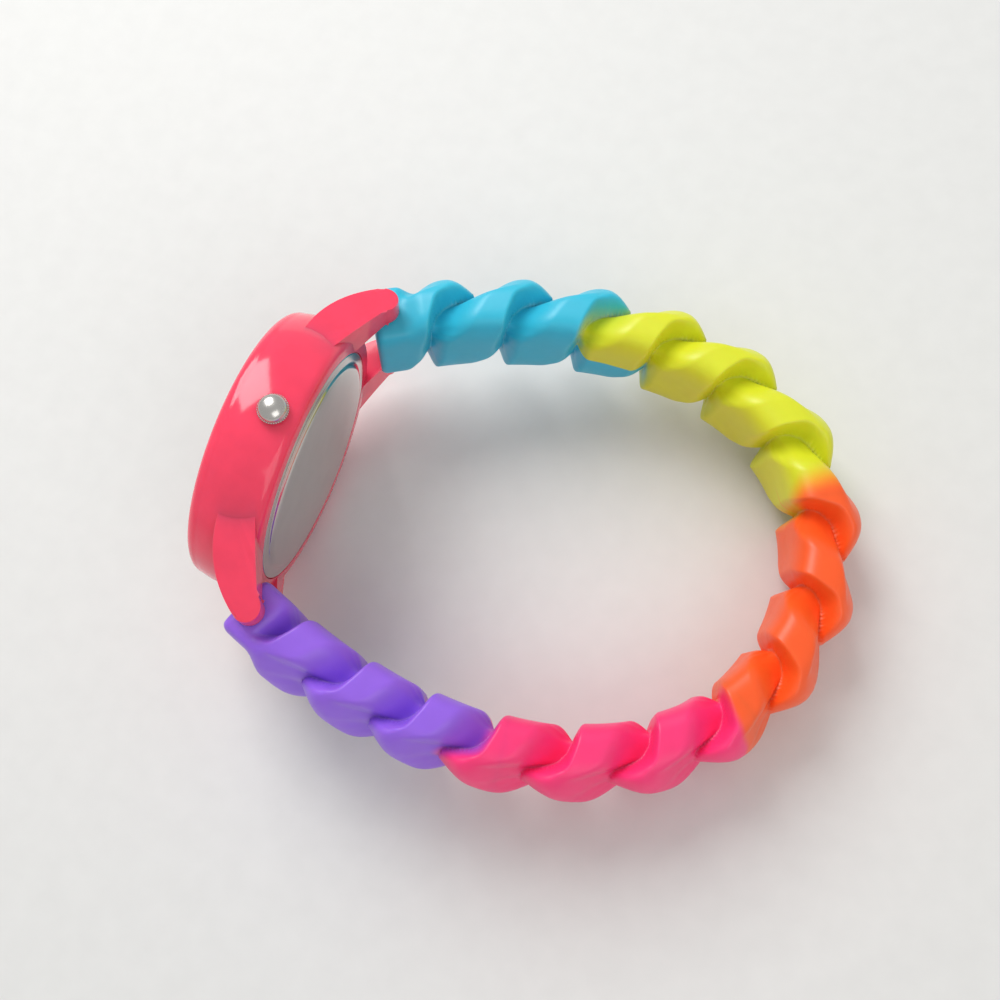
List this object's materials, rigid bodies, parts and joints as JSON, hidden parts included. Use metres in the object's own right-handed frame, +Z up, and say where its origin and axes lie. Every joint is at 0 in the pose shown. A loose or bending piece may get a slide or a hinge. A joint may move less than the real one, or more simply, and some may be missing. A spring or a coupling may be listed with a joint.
{
  "type": "toy wrist watch",
  "caption": "Child's slip-on wrist watch with a round glossy case, pull-out crown and turning hands on a closed stretch strap moulded as a rainbow chain of twisted links.",
  "frame": {"origin": "centre of the bounding box on the ground that the watch lies on, on its side", "axes": "+X from the watch case to the far end of the strap, +Y towards the 12 o'clock side of the loop, +Z up, the crown side"},
  "size_m": [0.0754, 0.0624, 0.0355],
  "materials": {
    "case_coral": "glossy, slightly translucent moulding",
    "clear_crystal": "clear, polished",
    "steel_back": "polished pressed sheet",
    "black_rubber": "matt",
    "white_plastic": "moulded",
    "dial_white": "printed card",
    "hand_black": "enamel",
    "hand_red": "enamel",
    "crown_steel": "plated",
    "plain_steel": "stamped and turned",
    "brass_parts": "turned",
    "plate_tan": "moulded",
    "cell_steel": "nickel plated",
    "board_green": "lacquered",
    "chip_black": "potted",
    "coil_copper": "enamelled wire",
    "rotor_grey": "sintered magnet",
    "silicone_blue": "satin silicone",
    "silicone_yellow": "satin silicone",
    "silicone_orange": "satin silicone",
    "silicone_pink": "satin silicone",
    "silicone_purple": "satin silicone"
  },
  "bodies": {
    "watch_case": {"case": "case_coral", "crystal": "clear_crystal", "case_back": "steel_back", "back_gasket": "black_rubber", "movement_ring": "white_plastic", "dial": "dial_white", "crown_tube": "plain_steel", "stem_clip": "plain_steel", "main_plate": "plate_tan", "train_bridge": "plate_tan", "movement_screws": "plain_steel", "button_cell": "cell_steel", "cell_clip": "plain_steel", "circuit_board": "board_green", "chip": "chip_black", "quartz_can": "plain_steel", "coil": "coil_copper", "coil_core": "plain_steel", "stator": "plain_steel", "strap_blue": "silicone_blue", "strap_yellow": "silicone_yellow", "strap_pink": "silicone_pink", "strap_purple": "silicone_purple", "bar_tube_12": "plain_steel", "bar_tube_6": "plain_steel", "bar_spring_12": "plain_steel", "bar_spring_6": "plain_steel"},
    "setting_sleeve": {"setting_pinion": "brass_parts"},
    "crown_and_stem": {"crown": "crown_steel", "crown_gasket": "black_rubber", "stem": "plain_steel"},
    "seconds": {"second_wheel": "white_plastic", "second_hand": "hand_red"},
    "minutes": {"centre_wheel": "brass_parts", "minute_hand": "hand_black"},
    "hours": {"hour_wheel": "white_plastic", "hour_hand": "hand_black"},
    "rotor_wheel": {"rotor": "rotor_grey"},
    "intermediate": {"intermediate_wheel": "white_plastic"},
    "third": {"third_wheel": "white_plastic"},
    "motion_work": {"minute_wheel": "white_plastic"},
    "strap_far_end": {"strap_orange": "silicone_orange"},
    "bar_pin_12_upper": {"pin_12_upper": "plain_steel"},
    "bar_pin_12_lower": {"pin_12_lower": "plain_steel"},
    "bar_pin_6_upper": {"pin_6_upper": "plain_steel"},
    "bar_pin_6_lower": {"pin_6_lower": "plain_steel"}
  },
  "joints": [
    {"name": "crown_turn", "type": "hinge", "parent": "watch_case", "child": "setting_sleeve", "pos_m": [-0.02865, -0.00298, 0.02317], "axis": [0.1567, 0, 0.9876], "continuous": true},
    {"name": "crown_pull", "type": "slide", "parent": "setting_sleeve", "child": "crown_and_stem", "axis": [0.1567, 0, 0.9876], "range_m": [0, 0.0009]},
    {"name": "seconds_turn", "type": "hinge", "parent": "watch_case", "child": "seconds", "pos_m": [-0.02947, -0.00298, 0.01672], "axis": [0.9876, 0, -0.1567], "continuous": true},
    {"name": "minutes_turn", "type": "hinge", "parent": "watch_case", "child": "minutes", "pos_m": [-0.03036, -0.00298, 0.01686], "axis": [0.9876, 0, -0.1567], "continuous": true},
    {"name": "hours_turn", "type": "hinge", "parent": "watch_case", "child": "hours", "pos_m": [-0.03135, -0.00298, 0.01702], "axis": [0.9876, 0, -0.1567], "continuous": true},
    {"name": "rotor_turn", "type": "hinge", "parent": "watch_case", "child": "rotor_wheel", "pos_m": [-0.02981, -0.00465, 0.01268], "axis": [0.9876, 0, -0.1567], "continuous": true},
    {"name": "intermediate_turn", "type": "hinge", "parent": "watch_case", "child": "intermediate", "pos_m": [-0.02959, -0.00343, 0.01411], "axis": [0.9876, 0, -0.1567], "continuous": true},
    {"name": "third_turn", "type": "hinge", "parent": "watch_case", "child": "third", "pos_m": [-0.02931, -0.00592, 0.01842], "axis": [0.9876, 0, -0.1567], "continuous": true},
    {"name": "motion_work_turn", "type": "hinge", "parent": "watch_case", "child": "motion_work", "pos_m": [-0.03144, -0.00424, 0.01521], "axis": [0.9876, 0, -0.1567], "continuous": true},
    {"name": "bar_pin_12_upper_press", "type": "slide", "parent": "watch_case", "child": "bar_pin_12_upper", "axis": [-0.1567, 0, -0.9876], "range_m": [0, 0.0011], "stiffness_N_per_m": 300, "springref_m": -0.0005, "deforming": ["bar_spring_12"]},
    {"name": "bar_pin_12_lower_press", "type": "slide", "parent": "watch_case", "child": "bar_pin_12_lower", "axis": [0.1567, 0, 0.9876], "range_m": [0, 0.0011], "stiffness_N_per_m": 300, "springref_m": -0.0005, "deforming": ["bar_spring_12"]},
    {"name": "bar_pin_6_upper_press", "type": "slide", "parent": "watch_case", "child": "bar_pin_6_upper", "axis": [-0.1567, 0, -0.9876], "range_m": [0, 0.0011], "stiffness_N_per_m": 300, "springref_m": -0.0005, "deforming": ["bar_spring_6"]},
    {"name": "bar_pin_6_lower_press", "type": "slide", "parent": "watch_case", "child": "bar_pin_6_lower", "axis": [0.1567, 0, 0.9876], "range_m": [0, 0.0011], "stiffness_N_per_m": 300, "springref_m": -0.0005, "deforming": ["bar_spring_6"]},
    {"name": "strap_stretch", "type": "slide", "parent": "watch_case", "child": "strap_far_end", "axis": [1, 0, 0], "range_m": [0, 0.01], "stiffness_N_per_m": 80, "deforming": ["strap_yellow", "strap_pink"]}
  ],
  "couplings": [
    {"joint": "minutes_turn", "follows": "seconds_turn", "ratio": 0.016667},
    {"joint": "hours_turn", "follows": "seconds_turn", "ratio": 0.0013889},
    {"joint": "rotor_turn", "follows": "seconds_turn", "ratio": 30},
    {"joint": "intermediate_turn", "follows": "seconds_turn", "ratio": -5},
    {"joint": "third_turn", "follows": "seconds_turn", "ratio": -0.13333},
    {"joint": "motion_work_turn", "follows": "seconds_turn", "ratio": -0.0055556}
  ]
}
